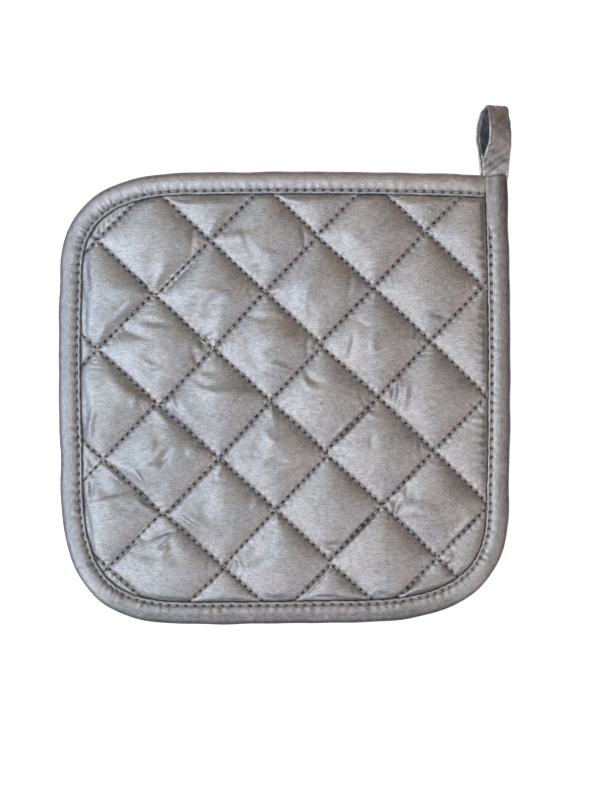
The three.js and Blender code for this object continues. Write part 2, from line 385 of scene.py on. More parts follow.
coarse_front = filled_front()
print("front filled, highest", round(float(coarse_front.max()), 2), "mm above the quilting")

# %% [markdown]
# ## Creases
#
# Quilted cloth never lies quite smooth: it ripples where a seam has gathered it and folds where the
# wadding is slack. The main creases are set down one by one in a table, each as a soft ridge or trough
# of its own length and bend, because a pattern that repeats would look printed. The rows of small even
# ripples beside the binding have a shorter table.

# %% Table of creases
# x, y, direction in degrees, half length, half width, rise, bend
CREASES = (
    (-64, -48.4, -37, 14, 4, 0.6, -3), (-82.5, -50.1, -59, 14, 4, -1.01, 0.9),
    (32.6, -73.2, 46, 14, 3.5, 1.12, -0.5), (-33.7, 19.5, 81, 14, 4, -1.03, -0.9),
    (-52.6, -79.7, -55, 14, 4, -1.07, 2.8), (-71.3, -10.1, -42, 13.2, 4, 1.08, 2.5),
    (71.1, -73.3, 24, 12.2, 4, -1.35, 3), (-24.5, -13, 12, 13.2, 4, 1.32, 3),
    (-57, -34.2, 89, 14, 4, -0.84, -0.5), (-12.1, -38.4, 46, 8.3, 3.9, -1.08, 2.4),
    (32.6, 47.7, -50, 13, 3.6, -1.17, -3), (-3.7, 11.2, 24, 11.2, 4, 1.3, -0.4),
    (-58.9, 40.9, 90, 14, 3.9, -0.82, -2.9), (-8.8, -81.7, 53, 12.5, 3.9, -1.15, 3),
    (-14.4, 46.2, -42, 11.4, 4, -1.02, -3), (54.9, -49.1, 47, 14, 3.1, 0.35, -0.8),
    (-62.7, -54, 76, 11.8, 4, 0.8, 1.8), (-34.3, -61.8, 87, 9.9, 4, -0.83, -1.3),
    (-39.5, -70.8, -29, 14, 4, 1.43, 2.6), (62.9, -72.9, -41, 14, 2.9, -0.94, -2.5),
    (8.9, 25, -50, 10.6, 3.8, -1.14, -3), (31.9, -26.4, 50, 14, 3.4, 0.82, 0.6),
    (-69.7, 14.7, -7, 9.3, 4, -0.95, -2.8), (-48.5, 39.2, 44, 14, 3.3, -0.9, -0.8),
    (-13.4, 2.1, -65, 13, 3.4, -0.55, 3), (14.2, -95.8, 47, 11, 1.7, 1.16, 0.5),
    (-57.2, 18.6, -6, 8.8, 1.7, -0.7, 0.2), (-65, 13.3, -20, 11, 1.7, -0.64, 1.5),
    (-32.9, 32.3, -5, 11, 1.7, 0.55, -1.6), (13, -6.9, -27, 6.4, 1.7, -0.65, 1.7),
    (-30.1, -45.1, 47, 11, 1.7, 0.73, 0.6), (-87.4, -18.5, -88, 11, 1.7, -0.99, 0.1),
    (-56.4, -75.7, 20, 11, 1.7, -0.61, 1.3), (-31, -12.2, -8, 11, 1.6, 0.29, 2.2),
    (-87.6, 25.7, 89, 11, 1.7, -1.05, -0.2), (68, 22.2, -14, 5.8, 1.7, -0.85, -0.8),
    (-73.3, -56.1, 18, 8.8, 1.7, -0.72, 2.1), (-87.3, -40.6, -50, 6.1, 1.7, -0.78, 1.8),
    (-33, -3.1, 4, 4.4, 1.4, -0.59, 0), (-9.8, 20.4, -5, 8.7, 1.7, -0.45, 2.5),
    (-43, 70.3, 0, 9.2, 1.5, 0.61, 1.1), (50.5, -60.8, 79, 5.5, 1.7, -0.7, -0.4),
    (9.1, -26.6, -46, 11, 1.7, 0.6, -0.7), (7.3, 71.4, -3, 11, 1.4, 0.65, 2.4),
    (56.2, -26, -46, 11, 1.5, 0.38, -0.7), (-45.3, -60.7, 45, 11, 1.7, 0.39, 0.5),
    (-56.1, -21.1, -43, 11, 1.7, 0.47, -0.1), (-40.7, 52.7, 83, 11, 1.3, -0.45, 0.8),
    (79.4, -71.9, 44, 11, 1.7, 1.36, 0.3), (34.4, 17.7, -25, 5.6, 1.5, -0.37, 1.4),
    (57.7, -73.8, -48, 11, 1.5, 0.45, 0.3), (8.9, -7.3, -60, 6.7, 1.7, 0.59, 1.8),
    (-68.9, -83, 49, 11, 1, 0.6, -0.5), (-19.3, -33, 46, 11, 1.7, 0.35, 0.5),
    (-61.5, -84, -9, 11, 1.6, -0.41, 3), (-9.6, 49.9, -28, 9.2, 1.6, 0.43, 2.8),
    (-2.8, -1, -15, 8.4, 1.7, 0.83, -1.8), (-39.3, 3.1, -66, 5.3, 1.5, -0.69, 1),
    (-27.6, -91.7, 46, 11, 1.2, 0.57, -0.1), (-5.8, -32.9, -37, 5.3, 1.7, 0.41, 0.5),
    (-70.2, 23.9, 44, 11, 1.7, 0.91, 0.9), (-79.9, 13.8, 58, 6.5, 1.7, 0.75, 0),
    (-51.3, -17, -89, 4.8, 1.7, 0.78, 1.3), (-55.1, -42.3, 17, 5.8, 1.7, -0.87, 0.5),
    (-65.8, -16.1, 71, 4.7, 1.5, 0.56, -1.4), (-87.9, -70, -82, 11, 1.2, 1.14, 1),
    (50.6, -10.8, -88, 10.9, 1.6, 0.89, -3), (-27.5, 70.4, 3, 11, 1.4, 0.56, 0.4),
    (90.2, -33.1, 89, 11, 1.4, 1.08, 1), (-87.4, 40.7, -86, 11, 1.7, -0.74, 1.9),
    (48.5, -11.7, 84, 5.5, 1.6, -0.46, 1.6), (-71.4, -62.8, -7, 5, 1.6, -0.45, -0.5),
    (-2.8, -66.6, 78, 6.6, 1.7, 0.59, -1.2), (-31.3, 27.5, 20, 6, 1.7, -0.58, 0.6),
    (-5.5, 32.3, 20, 6.7, 1.7, 0.55, -2), (-61.4, -62.2, -34, 6.7, 1.7, 0.58, 1),
    (20.8, -79.9, 0, 6.7, 1.6, -0.76, 2), (39, 8.5, 89, 6.2, 1.7, 0.53, -1.9),
    (25.7, -28.1, 47, 11, 1.2, 0.64, -0.5), (-31.2, 5.7, 45, 9.7, 1.7, 0.6, -2.8),
    (36.8, -21.2, -34, 6.1, 1.4, 0.61, 1.4), (-5.6, -20.4, -82, 7.4, 1.7, 0.56, 0.2),
    (-30.2, 62.7, 54, 7.8, 1.7, 0.9, -1.9), (-54.5, 39.2, 60, 6.7, 1.7, 0.8, -1.2),
    (-39.4, -37.2, 41, 4.8, 1.7, 0.99, 0), (32.6, -3.2, -47, 11, 1.4, 0.35, -0.8),
    (-65.1, -76.4, 47, 11, 1.1, -0.92, -0.2), (-32.9, 22.1, 7, 5.1, 1.7, -0.63, 1),
    (56.8, 73.1, -7, 11, 1.7, -0.61, 1.2), (-11.7, -60.5, 55, 5.2, 1.5, 0.9, -0.1),
    (89.2, 56.8, -88, 11, 1.1, 0.99, -0.5), (56.2, -55.8, -90, 5.4, 1.7, -0.87, 0.2),
    (-34.2, 11.3, 36, 5.5, 1.7, -0.94, -0.6), (86.7, -47.5, 6, 5, 1.6, -0.9, 1.1),
    (8.8, 55.2, -82, 6.8, 1.1, -0.41, -1), (-52.5, -79.2, 36, 5.1, 1.3, -0.67, 0.1),
    (48.2, -62.3, 89, 9.1, 1.1, 0.23, -1.2), (23.7, -39.3, 3, 6.2, 1.7, -0.87, 1.5),
    (-3.6, -42.2, 9, 5.9, 1.5, -0.69, -1.8), (-58.3, -0.7, -16, 5, 1.6, 1, 0.7),
    (-36.4, -8.1, -38, 5.4, 1.4, -0.33, 1), (9.8, 7.7, 87, 8.4, 1.1, -0.42, -1.6),
    (-10.1, 42.8, 5, 6.5, 1.7, -0.55, -1.8), (86.5, -20.7, -39, 4.2, 1.1, -0.43, -0.8),
    (-70.6, -94.3, -30, 6.3, 1.4, 0.5, -0.5), (28.6, 32.9, 78, 6.8, 1.4, -0.43, 0.7),
    (87.5, 47.9, 78, 5.8, 1.7, -0.61, -1.7), (-57.1, -40.9, -82, 14, 3.5, 0.65, 2.3),
    (64.1, -74.7, -33, 12.4, 2.8, 0.69, 3), (-59, 0, -82, 9.4, 4, -0.91, 2.8),
    (-59.9, -80.5, -70, 12.7, 4, -0.85, 0.9), (55.9, -100.5, 22, 14, 4, 1.64, 0.4),
    (59.1, -63.7, -7, 11.4, 3.6, 1.18, -3), (-65.6, 33, 24, 13.2, 4, 1.28, 2.9),
    (32.1, 48.9, -62, 14, 4, 0.98, 3), (-43, -22, -55, 13.7, 4, 1.19, 3),
    (9.4, 29.4, 86, 14, 4, 1.2, -3), (-39.5, 23.3, 83, 10.9, 4, -0.87, -3),
    (-15.6, -85, 40, 10.3, 4, -1.29, 1.8), (-68, -46.2, -30, 10.3, 2.1, 0.66, -3),
    (-19.8, 55.5, 6, 14, 3, 0.86, 1), (53.3, -13.6, 82, 7.9, 1.3, 0.75, 0.2),
    (-89.8, -21.3, -89, 9, 1.3, 1.23, 0.3), (-89.6, 25.8, 89, 9, 1.1, 1.04, -0.4),
    (-85.9, -70.4, -81, 9, 1.3, -0.97, 0.4), (-53.6, -77.7, 46, 5.4, 1.3, 0.94, -0.1),
    (18.8, -102.3, -1, 9, 1.1, -1.04, -0.8), (53.8, -56.9, -90, 6, 1.3, -0.84, 0.5),
    (8.7, 25.9, -85, 7.7, 1.3, 0.37, 2), (-89.5, -9.2, -89, 9, 0.9, 0.85, -0.1),
    (-52.4, -40.4, 59, 6.2, 1.3, -0.89, -0.6), (60.2, -72.6, -38, 9, 1.3, 0.28, 1.1),
    (49, -62.9, 68, 5.5, 1.3, -0.78, -1.7), (-3.7, -102.8, -2, 7.5, 1.3, -0.69, 2.2),
    (-85.1, -55.3, 90, 5.3, 1.3, -1.23, -0.1), (-53.4, -104.3, -6, 9, 1, 0.95, 1),
    (-18.1, 52, -69, 7.6, 1.3, 0.67, 0.7), (-86.9, 38.4, -83, 9, 1.3, -0.88, 1.3),
    (-27.2, -44.9, 51, 6.8, 1.3, 1.02, -1.6), (-48.9, -17, -73, 6.5, 1.3, 0.93, 1.2),
    (14.4, -97.7, 47, 9, 0.8, -0.76, 0.9), (-52.4, -80.9, 54, 3.6, 1.3, 0.93, 0.8),
    (49, -11.4, 87, 6.2, 1.3, -0.83, 1.8), (48.7, -62, -84, 6.9, 1.1, -0.84, -1.7),
    (-85.2, -26.6, 83, 9, 1.1, 0.91, -1.3), (-58.4, -36.4, 53, 4.9, 1.3, 0.63, 1.5),
    (43.8, -101.4, -4, 4.9, 1.3, -0.77, -0.3), (-57.2, -41.2, 40, 7.1, 1.3, 0.5, 0.4),
    (-9.7, -4.3, -18, 5.1, 1.3, 0.5, -0.5), (29.9, 7.8, 77, 7.1, 1.2, -0.71, 0.5),
    (89.4, -35.6, 89, 9, 1.2, 1.06, -0.5), (-87.9, 16.9, -89, 8.8, 1.3, -0.69, -0.4),
    (-63.6, -49.6, -58, 4.7, 0.8, 0.59, 0.2), (87.3, 22.5, 85, 9, 1.3, -0.57, 0.1),
    (-41.7, -69.5, -34, 7.3, 0.7, 0.66, 0.2), (-43.8, 72.7, -6, 9, 1.3, -0.52, 1.5),
    (72.5, -85.5, 54, 3.5, 1.2, 0.99, 1.1), (38.3, -33.8, 85, 6.1, 1.3, -0.43, -1.1),
    (-32.9, -44.6, 45, 9, 1.1, -0.77, 0), (-75.4, -47.7, -39, 9, 1, 0.55, -1),
    (-51.7, -33.8, 28, 3.8, 0.6, -0.45, 0.4), (-53.7, -74.6, 21, 6.2, 0.6, -0.4, -0.8),
    (-53.9, -75.9, 21, 6, 0.7, 0.41, -0.8), (-79.6, -58.3, 15, 9.6, 0.6, -0.46, 0),
)
# the same, then how many side by side and the step from one to the next
RIPPLES = (
    (86.4, 34.0, -3, 4.0, 0.9, 0.42, 0.2, 6, 0.0, 4.1),
    (86.8, -8.0, 3, 4.0, 0.9, 0.38, 0.2, 9, 0.1, 4.0),
    (86.4, -48.0, -4, 4.0, 0.9, 0.42, -0.2, 8, -0.1, 4.0),
    (-81.2, 59.8, 74, 3.2, 0.65, -0.8, 0.2, 8, 2.05, 1.9),
    (-79.0, -90.0, 52, 3.0, 0.65, -0.7, 0.2, 7, 2.0, -1.75),
)


def crease(x, y, at_x, at_y, turn, reach, width, height, bend):
    way = math.radians(turn)
    along = ((x - at_x) * math.cos(way) + (y - at_y) * math.sin(way)) / reach
    across = (y - at_y) * math.cos(way) - (x - at_x) * math.sin(way)
    ends = np.clip(1 - along**2, 0, 1) ** 1.5
    return height * ends * np.exp(-(((across - bend * along**2) / width) ** 2))


def creased(x, y):
    rise = sum(crease(x, y, *row) for row in CREASES)
    for at_x, at_y, *shape, count, step_x, step_y in RIPPLES:
        for number in range(count):
            rise += crease(x, y, at_x + number * step_x, at_y + number * step_y, *shape)
    return rise


print("creases", len(CREASES) + sum(row[7] for row in RIPPLES))

# %% [markdown]
# ## The quilted pad
#
# Front and back cloth share one grid of falling and rising places, so they can be stitched to each
# other at the edge and make one closed piece. The grid lines crowd together beside the quilting, where
# the cloth turns sharply, and spread out on the puffs. The back lies on the table, so its puffs are
# pressed flat. Its edge goes into the binding and is never seen.

# %% Pad's sizes and a finer grid
PAD_CELLS = 60  # to a diamond's side
CROWDING = 0.3  # how much closer the grid lines stand beside the quilting
PAD_EDGE = 3.0  # how far in from the outline the pad's own edge is
FLANGE_HALF = 1.4  # half the pad's thickness inside the binding
PINCH = 0.3  # how far the thread pulls the cloth down along a line of quilting
STITCHES = 10.2  # to a diamond's side
FOLDS = ((-0.12, 0.12), (2.6, 4.4), (0, 6.28))  # small folds: range of height, spacing and start
FOLDS_BETWEEN = ((1.5, 5.0), (7.0, 15.0))  # how far from a crossing they rise and fall away
UNEQUAL = 0.07  # how much fuller or flatter than the rest a puff can be
SEAM_CLEAR = (0.3, 1.6)  # creases rise between these distances from a line of quilting
STITCH_PUCKER = 0.12  # height of the small bumps between the stitches
COVER = 3.2  # how far inside the binding the pad reaches its full height
PRESSED_LINE = 0.2  # how deep the binding's edge presses into the pad
BACK_FALL = 15  # how far inside the binding the back's puffs are full


def between(places, cells):
    """Weights that read a coarser grid at any place: curved in a diamond, creased at its edge."""
    weights = np.zeros((len(places), (LINES - 1) * cells + 1))
    for row, place in enumerate(places):
        diamond = min(int(place), LINES - 2)
        left = min(int((place - diamond) * cells), cells - 1)
        t = (place - diamond) * cells - left
        spline = (-t + 2 * t**2 - t**3, 2 - 5 * t**2 + 3 * t**3, t + 4 * t**2 - 3 * t**3, t**3 - t**2)
        for step, weight in zip(range(left - 1, left + 3), spline):
            if step < 0:
                parts = ((0, 3), (1, -3), (2, 1))
            elif step > cells:
                parts = ((cells, 3), (cells - 1, -3), (cells - 2, 1))
            else:
                parts = ((step, 1),)
            for part, share in parts:
                weights[row, diamond * cells + part] += weight / 2 * share
    return weights


def soft_step(value, low, high):
    t = np.clip((value - low) / (high - low), 0, 1)
    return t * t * (3 - 2 * t)


print("pad's grid", (LINES - 1) * PAD_CELLS, "cells each way")


# %% Heights of the pad's two sides
def near_quilting(falling, rising):
    """Distance to each set of lines in millimetres."""
    return to_line(falling) * DIAMOND / 2, to_line(rising) * DIAMOND / 2


def gathered(falling, rising, x, y):
    """Small folds round every crossing, which bend round it in each of the four puffs that meet there."""
    row, column = np.round(falling).astype(int), np.round(rising).astype(int)
    quarter = 2 * (falling > row) + (rising > column)
    centre_x, centre_y = crossing(row, column)
    reach = np.hypot(x - centre_x, y - centre_y)
    apart, beside = np.abs(falling - row), np.abs(rising - column)
    middle = 2 * apart * beside / (apart**2 + beside**2 + 1e-9)
    height, pitch, start = (rng.uniform(low, high, (LINES, LINES, 4)) for low, high in FOLDS)
    height, pitch, start = (table[row, column, quarter] for table in (height, pitch, start))
    bent = reach + 0.5 * np.sin(0.9 * (x + y) + start) + 0.4 * np.sin(0.6 * (x - y) + 2 * start)
    rising_part, falling_part = FOLDS_BETWEEN
    window = soft_step(reach, *rising_part) * (1 - soft_step(reach, *falling_part))
    return np.maximum(height, 0) * middle * window * np.sin(2 * np.pi * bent / pitch + start)


def front_rise(falling, rising, x, y, beside, filled):
    """The front's height above the quilting, with creases, folds and the pull of the stitches."""
    fullness = 1 + rng.uniform(-UNEQUAL, UNEQUAL, (LINES, LINES))
    rise = filled * fullness[falling.astype(int), rising.astype(int)]
    off_falling, off_rising = near_quilting(falling, rising)
    clear = soft_step(np.minimum(off_falling, off_rising), *SEAM_CLEAR)
    rise += (creased(x, y) + gathered(falling, rising, x, y)) * clear
    for off, along in ((off_falling, rising), (off_rising, falling)):
        beat = np.cos(2 * np.pi * along * STITCHES)
        uneven = 1 + 0.6 * np.sin(along * 23.7 + 3.1 * np.floor(along))
        rise -= PINCH * (0.75 + 0.25 * beat) * np.exp(-((off / 0.75) ** 2))
        rise -= STITCH_PUCKER * beat * uneven * np.exp(-(((off - 1.3) / 1.0) ** 2))
    return rise * soft_step(beside, -1.2, COVER) - PRESSED_LINE * np.exp(-(((beside - 0.2) / 0.6) ** 2))


def back_rise(falling, rising, beside):
    """The back's depth below the quilting: puffs whose tops are pressed flat."""
    dome = np.sin(np.pi * (falling % 1)) * np.sin(np.pi * (rising % 1))
    full = np.maximum(dome, 0) ** 0.62 * np.clip(beside / BACK_FALL, 0, 1) ** 0.5
    pressed = 1 - np.log1p(np.exp(-(1.6 * full - 1) * 6)) / math.log1p(math.exp(6))
    off = np.minimum(*near_quilting(falling, rising))
    return (MID_HEIGHT - SEAM_HALF) * np.clip(pressed, 0, 1) - PINCH * np.exp(-((off / 1.1) ** 2))


# %% Closing a front and a back
def closed_sheet(flat, faces):
    """The rim's edges, and the faces that close a front, its mirrored back and the rim between them."""
    sides = np.concatenate([faces[:, [k, (k + 1) % 4]] for k in range(4)])
    _, where, count = np.unique(np.sort(sides, axis=1), axis=0, return_index=True, return_counts=True)
    rim = sides[where[count == 1]]
    bottom = faces[:, ::-1] + len(flat)
    wall = np.column_stack((rim[:, 1], rim[:, 0], rim[:, 0] + len(flat), rim[:, 1] + len(flat)))
    return rim, np.vstack((faces, bottom, wall))


# %% Pad
def make_pad():
    steps = np.arange((LINES - 1) * PAD_CELLS + 1) / PAD_CELLS
    places = steps - CROWDING * np.sin(2 * np.pi * steps) / (2 * np.pi)
    falling, rising = grid(places)
    x, y = crossing(falling, rising)
    distance, beside = depth_inside(x, y)
    weights = between(places, SIM_CELLS)
    filled = np.clip(weights @ coarse_front @ weights.T, 0, HIGHEST_PUFF)
    filled = HIGHEST_PUFF * (filled / HIGHEST_PUFF) ** ROUNDNESS
    cover = soft_step(beside, -1.6, COVER)
    half = FLANGE_HALF + (SEAM_HALF - FLANGE_HALF) * cover
    front = MID_HEIGHT + half + front_rise(falling, rising, x, y, beside, filled)
    back = MID_HEIGHT - half - back_rise(falling, rising, beside) * cover

    corners = grid_faces(*x.shape)
    top = corners[(distance.ravel()[corners] > PAD_EDGE).all(axis=1)]
    used, renumbered = np.unique(top, return_inverse=True)
    flat = np.column_stack((x.ravel(), y.ravel()))[used]
    rim, faces = closed_sheet(flat, renumbered.reshape(top.shape))
    on_rim = np.unique(rim)
    gap, place = from_edge(flat[on_rim])
    flat[on_rim] += on_path(place, path_in) * (PAD_EDGE - gap)[:, None]
    points = np.vstack([np.column_stack((flat, z.ravel()[used])) for z in (front, back)])
    cloth_map, edge_map = (
        np.tile(np.column_stack((first.ravel(), second.ravel()))[used], (2, 1))
        for first, second in ((falling, rising), (beside, distance))
    )
    piece = make_mesh("pad", points, faces, cloth_map)
    add_map(piece.data, "edge", edge_map)
    highest = round(float(points[:, 2].max()), 2)
    print("pad", len(piece.data.polygons) * 2, "triangles, highest", highest, "mm")
    return piece


pad = make_pad()

# %% [markdown]
# ## The binding
#
# The edge is bound with one strip of cloth, its raw edges turned in, folded over the pad and sewn down
# through all layers. So its section is a single line of cloth: hem, lip, groove of stitches, roll, and
# the same again on the back. That line is drawn once, given the cloth's thickness, and swept round the
# outline. On the way its width, puckers and wrinkles change as the real strip's do.

# %% Binding's sizes
CLOTH = 0.44  # thickness of the strip's cloth
STATIONS = 880  # sections along the strip
GROOVE_IN = 1.4  # from the lip back to the stitches
STRIP_PITCH = 4.05  # length of a stitch
STRIP_START = 9.2  # the top stretch begins under the right-hand one, this far from the corner
LAST_STITCH = path_length - 21.0  # beyond it, at the strip's other end, no stitches show
SEWING_ENDS = 4  # the length over which their marks fade out before it
# rounded corner's x and y, how far its wrinkles reach along the strip, and their height
GATHERED = ((-84, 70, 40, 0.46), (-84, -99, 44, 0.42), (86, -98, 30, 0.16))
WRINKLE_STEP = 2.3
PUCKER = (0.15, 0.13)  # height of the puckers between the stitches, and how much it varies
ABOVE_TABLE = 0.03  # the strip's lowest points
DIP = 0.2  # how deep the thread pulls the groove at each stitch
ON_PAD = 2.2  # where the section rises above this, the strip lies over the pad
UNDER_LENGTH = 7  # the strip's first stretch is pressed flat under its other end
UNDER_HEIGHT = 1.7  # down towards this height
OVER_RISE = 0.55  # which lies that much higher
SECTION = (  # share of the strip's width, millimetres added, rise from the middle plane
    (1, -5.0, 1.84),
    (1, -2.5, 1.78),
    (1, -0.7, 1.84),
    (1, -0.14, 2.15),
    (1, -0.45, 2.58),
    (1, -0.88, 2.55),
    (1, -1.4, 2.22),
    (1, -2.0, 2.62),
    (1, -2.9, 3.08),
    (0.5, 0.1, 3.42),
    (0, 2.4, 3.1),
    (0, 1.1, 2.3),
    (0, 0.4, 1.3),
    (0, 0.2, 0.0),
)
print("binding's section", len(SECTION), "points on its front half")


# %% Uneven lines and smooth courses
def wander(at, wavelength):
    """A smooth uneven line between about -1 and 1."""
    parts = [(wavelength * share, rng.uniform(0, 2 * np.pi)) for share in (1.0, 1.37, 0.71, 1.83)]
    return sum(np.sin(2 * np.pi * at / length + start) for length, start in parts) / 2.4


def through(rows, steps):
    """Points on a smooth line through the rows, with so many steps from one to the next."""
    rows = np.asarray(rows, float)
    padded_rows = np.vstack((2 * rows[0] - rows[1], rows, 2 * rows[-1] - rows[-2]))
    t = (np.arange(steps) / steps)[:, None]
    points = []
    for a, b, c, d in zip(padded_rows, padded_rows[1:], padded_rows[2:], padded_rows[3:]):
        square, cube = 2 * a - 5 * b + 4 * c - d, 3 * b - a - 3 * c + d
        points.append(b + ((c - a) * t + square * t**2 + cube * t**3) / 2)
    return np.vstack(points + [rows[-1:]])


# %% [markdown]
# ### Sweeping a section
#
# A swept piece is a grid of points: one row for each station, one column for each point of its closed
# section. The helper closes the two ends with a strip of quads and turns the faces outwards.

# %% Sweep helper
def outwards(points, faces):
    """The faces, turned so that their normals point out of the closed shape."""
    a, b, c, d = (points[faces[:, k]] for k in range(4))
    volume = (a * np.cross(b, c)).sum() + (a * np.cross(c, d)).sum()
    return faces if volume > 0 else faces[:, ::-1]


def swept(name, sections, uv):
    """A mesh from sections, each of which runs out along one side and back along the other."""
    rows, columns = sections.shape[:2]
    index = np.arange(rows * columns).reshape(rows, columns)
    after = np.roll(index, -1, axis=1)
    faces = [np.stack((index[:-1], after[:-1], after[1:], index[1:]), axis=-1).reshape(-1, 4)]
    half = np.arange((columns - 1) // 2)
    for row, way in ((0, -1), (rows - 1, 1)):
        ring = index[row]
        opposite = columns - 1 - half
        cap = np.stack((ring[half], ring[half + 1], ring[opposite - 1], ring[opposite]), axis=-1)
        faces.append(cap[:, ::way])
    points = sections.reshape(-1, 3)
    return make_mesh(name, points, outwards(points, np.vstack(faces)), uv.reshape(-1, 2))


# %% How the binding's section changes on its way
def over_pad(place, off, rise, sewn):
    """The section's rise with the stitches' dips, the puckers beside them and the corners' wrinkles."""
    beat = 2 * np.pi * place / STRIP_PITCH
    depth = np.abs(rise) * (1 + 0.035 * wander(place, 23))
    depth -= DIP * sewn * (0.5 + 0.5 * np.cos(beat)) * np.exp(-((off / 0.8) ** 2))
    lean = wander(place, 31)
    usual, varied = PUCKER
    pucker = (usual + varied * wander(place, 19)) * sewn
    pucker = pucker * np.cos(beat + np.pi + 0.6 * lean * off + 0.8 * wander(place, 19))
    depth += pucker * np.exp(-(((off + 1.4) / 1.1) ** 2)) * (np.abs(rise) > ON_PAD)
    for x, y, reach, height in GATHERED:
        nearby = np.exp(-(((place - place_of(x, y)) / reach) ** 4))
        turn = 2 * np.pi * (place + 1.3 * wander(place, 9)) / WRINKLE_STEP
        wrinkle = np.sin(turn + 0.8 * lean * off)
        near = soft_step(off, -3.6, -1.2) * (1 - soft_step(off, -0.2, 0.6))
        near = near * (1 + 0.5 * wander(place, 13))
        depth += height * nearby * wrinkle * near * (np.abs(rise) > ON_PAD)
    return depth


def binding_sections():
    place = np.linspace(STRIP_START, path_length, STATIONS)[:, None]
    width = strip_width(place)
    front = through(SECTION, 2)
    share, added, rise = np.vstack((front, (front * (1, 1, -1))[-2::-1])).T
    inwards = share * width + added
    off = inwards - (width - GROOVE_IN)
    sewn = 1 - soft_step(place, LAST_STITCH - SEWING_ENDS, LAST_STITCH)
    depth = over_pad(place, off, rise, sewn)
    depth += 0.04 * wander(place, 7) * soft_step(inwards, 0.8, 2.5)
    flattened = 3.1 - 0.9 * soft_step(off, -2.5, 1.2)  # the unsewn end has no groove
    eased = flattened + (depth - flattened) * sewn
    depth = np.where((np.abs(rise) > 2.0) & (off > -2.6), eased, depth)
    beat = 2 * np.pi * place / STRIP_PITCH
    inwards = inwards + (0.12 * wander(place, 9) + 0.06 * np.cos(beat)) * soft_step(off, 0, 1.5)
    inwards = inwards + 0.16 * wander(place, 27) * (1 - soft_step(inwards, 0.5, 3.5))
    under = 1 - soft_step(place, STRIP_START, STRIP_START + UNDER_LENGTH)
    pressed = UNDER_HEIGHT + (depth - UNDER_HEIGHT) * (1 - 0.6 * under)
    depth = np.where(depth > UNDER_HEIGHT, pressed, depth)
    over = soft_step(place, path_length - 11, path_length - 8)
    depth += OVER_RISE * over * soft_step(inwards, width - 3.0, width - 0.8)
    return place, inwards, np.sign(rise) * np.maximum(depth, 0), off


# %% Binding
def make_binding():
    place, inwards, rise, off = binding_sections()
    way_a, way_z = np.gradient(inwards, axis=1), np.gradient(rise, axis=1)
    length = np.hypot(way_a, way_z)
    out_a, out_z = -way_z / length * CLOTH / 2, way_a / length * CLOTH / 2
    ring_a = np.hstack((inwards + out_a, (inwards - out_a)[:, ::-1]))
    ring_z = np.hstack((rise + out_z, (rise - out_z)[:, ::-1]))
    flat = on_path(place, path_xy) + on_path(place, path_in) * ring_a[..., None]
    height = np.maximum(MID_HEIGHT + ring_z, ABOVE_TABLE)
    sections = np.concatenate((flat, height[..., None]), axis=-1)
    uv = np.stack((np.broadcast_to(place, ring_a.shape), np.hstack((off, off[:, ::-1]))), axis=-1)
    piece = swept("edge_binding", sections, uv)
    cut_width = float(length.sum(axis=1).mean())
    print("binding", len(piece.data.polygons) * 2, "triangles, cut", round(cut_width, 1), "mm wide")
    return piece, cut_width


edge_binding, strip_cut = make_binding()

# %% [markdown]
# ## The hanging loop
#
# The loop is a strip folded to a narrow band, bent over and caught in the end of the binding. It stands
# up from the corner and leans a little to the left, so its back half shows beside its front half. It
# is drawn as a course of points with the band's turn and width at each, and its section swept along it.

# %% Loop
LOOP_COURSE = (  # x, y, z, turn in degrees, width; from the front root over the top to the back root
    (93.4, 81.6, 4.4, 0, 10.4),
    (93.3, 84.6, 5.0, 1, 11.4),
    (93.0, 87.4, 6.6, 3, 12.0),
    (93.2, 91.0, 9.4, 7, 11.8),
    (94.1, 97.0, 12.6, 15, 10.7),
    (94.0, 104.0, 13.5, 20, 10.3),
    (93.6, 110.0, 11.6, 20, 10.1),
    (93.1, 113.1, 7.8, 19, 10.0),
    (91.2, 110.8, 4.1, 18, 10.1),
    (89.7, 105.2, 2.5, 18, 10.2),
    (89.5, 99.0, 2.4, 17, 10.3),
    (91.2, 92.0, 2.2, 8, 10.6),
    (91.9, 85.8, 2.3, 2, 10.8),
    (92.6, 82.8, 2.6, 0, 10.8),
)
LOOP_HALF = 0.6  # half the folded band's thickness
LOOP_STEPS = 14  # from one row of the course to the next
LOOP_ACROSS = 27  # points across the band
LOOP_EDGE = 12  # how square the band's edges are
LOOP_BOW = 0.15  # how far its middle bows out
FOLD_LINE = (-0.76, 0.07, 0.22)  # place across the band, half width and depth
LOOP_RIPPLES = ((4.5, 8.5, 0.2), (-5, 5.0, 0.12))  # slant, wavelength, height
INNER_SIDE = 100.0  # added to the map's places on the loop's inner side


print("loop's course", len(LOOP_COURSE), "rows")


def band_frame(middle, turn):
    """At each point of the course: the step to the next, the way across the band and the way inward."""
    tangent = np.gradient(middle, axis=0)
    step = np.linalg.norm(tangent, axis=1)
    tangent /= step[:, None]
    across = np.column_stack((np.cos(turn), np.zeros_like(turn), -np.sin(turn)))
    across -= tangent * (across * tangent).sum(axis=1)[:, None]
    across /= np.linalg.norm(across, axis=1)[:, None]
    return step, across, np.cross(tangent, across)


